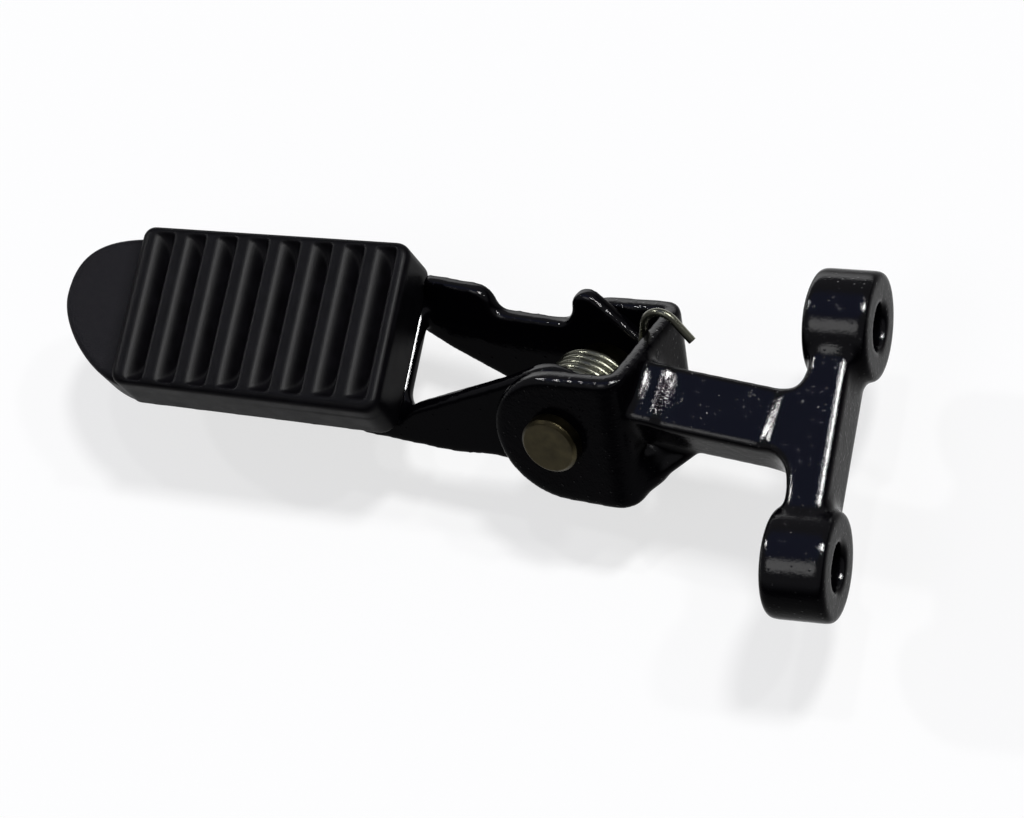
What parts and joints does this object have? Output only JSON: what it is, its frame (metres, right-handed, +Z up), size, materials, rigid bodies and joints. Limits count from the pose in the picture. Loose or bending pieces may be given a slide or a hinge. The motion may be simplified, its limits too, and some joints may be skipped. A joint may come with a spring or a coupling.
{
  "type": "motorcycle footpeg",
  "caption": "Folding motorcycle footpeg with a ribbed rubber pad, clevis pin and return spring on a cast hanger bracket with bolt bosses.",
  "frame": {"origin": "midway between the two bolt holes, on the plane of the two boss end faces", "axes": "+X outward along the peg to its tip, +Y toward the front of the motorcycle, +Z up"},
  "size_m": [0.2064, 0.0838, 0.0509],
  "materials": {
    "bracket": "gloss black paint over casting",
    "peg_frame": "gloss black paint",
    "rubber_pad": "matt",
    "pad_plate": "plain",
    "pad_screws": "zinc plated",
    "pad_washers": "zinc plated",
    "pivot_pin": "yellow zinc plated",
    "pin_washer": "yellow zinc plated",
    "split_pin": "zinc plated",
    "torsion_spring": "plated wire",
    "spring_collar": "plain turned"
  },
  "bodies": {
    "hanger": {"bracket": "bracket", "pivot_pin": "pivot_pin", "pin_washer": "pin_washer", "split_pin": "split_pin", "spring_collar": "spring_collar", "torsion_spring": "torsion_spring"},
    "peg": {"peg_frame": "peg_frame", "rubber_pad": "rubber_pad", "pad_plate": "pad_plate", "pad_screws": "pad_screws", "pad_washers": "pad_washers"}
  },
  "joints": [
    {"name": "peg_fold", "type": "hinge", "parent": "hanger", "child": "peg", "pos_m": [0.06946, -0.01022, -0.00941], "axis": [-0.1392, -0.8011, -0.5821], "range_deg": [0, 50], "stiffness_Nm_per_rad": 0.4, "springref_deg": -57.3, "deforming": ["torsion_spring"]}
  ]
}
